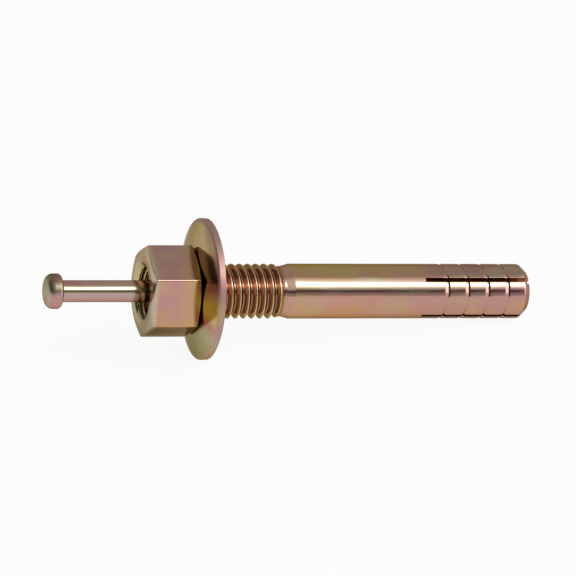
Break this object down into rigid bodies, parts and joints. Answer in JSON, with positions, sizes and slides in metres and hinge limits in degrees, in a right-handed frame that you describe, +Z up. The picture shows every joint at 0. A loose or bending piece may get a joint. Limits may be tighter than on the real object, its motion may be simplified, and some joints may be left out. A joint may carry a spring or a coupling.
{
  "type": "strike anchor",
  "caption": "Slotted steel expansion bolt with a hex nut, a dished washer and a headed pin that is driven in to spread the sleeve.",
  "frame": {"origin": "on the table under the middle of the lying anchor's bounding box", "axes": "+X towards the slotted end, +Z up; the anchor's own axis dips 7 degrees towards +X, as it lies on the washer's rim and the sleeve's end edge"},
  "size_m": [0.1156, 0.0324, 0.0323],
  "materials": {
    "body_zinc": "yellow zinc, iridescent, glossy",
    "pin_zinc": "yellow zinc, iridescent, glossy",
    "nut_zinc": "yellow zinc, iridescent, satin",
    "washer_zinc": "yellow zinc, iridescent, satin"
  },
  "bodies": {
    "anchor": {"anchor_body": "body_zinc"},
    "pin": {"drive_pin": "pin_zinc"},
    "washer": {"dished_washer": "washer_zinc"},
    "nut": {"hex_nut": "nut_zinc"}
  },
  "joints": [
    {"name": "pin_drive", "type": "slide", "parent": "anchor", "child": "pin", "axis": [0.9926, 0, -0.1217], "range_m": [0, 0.0229]},
    {"name": "washer_slide", "type": "slide", "parent": "anchor", "child": "washer", "axis": [0.9926, 0, -0.1217], "range_m": [-0.0059, 0.0176]},
    {"name": "nut_turn", "type": "hinge", "parent": "washer", "child": "nut", "pos_m": [-0.02934, 0, 0.01671], "axis": [0.9926, 0, -0.1217], "range_deg": [-1080, 3240]}
  ],
  "couplings": [
    {"joint": "washer_slide", "follows": "nut_turn", "m_per_rad": 0.00031096}
  ]
}
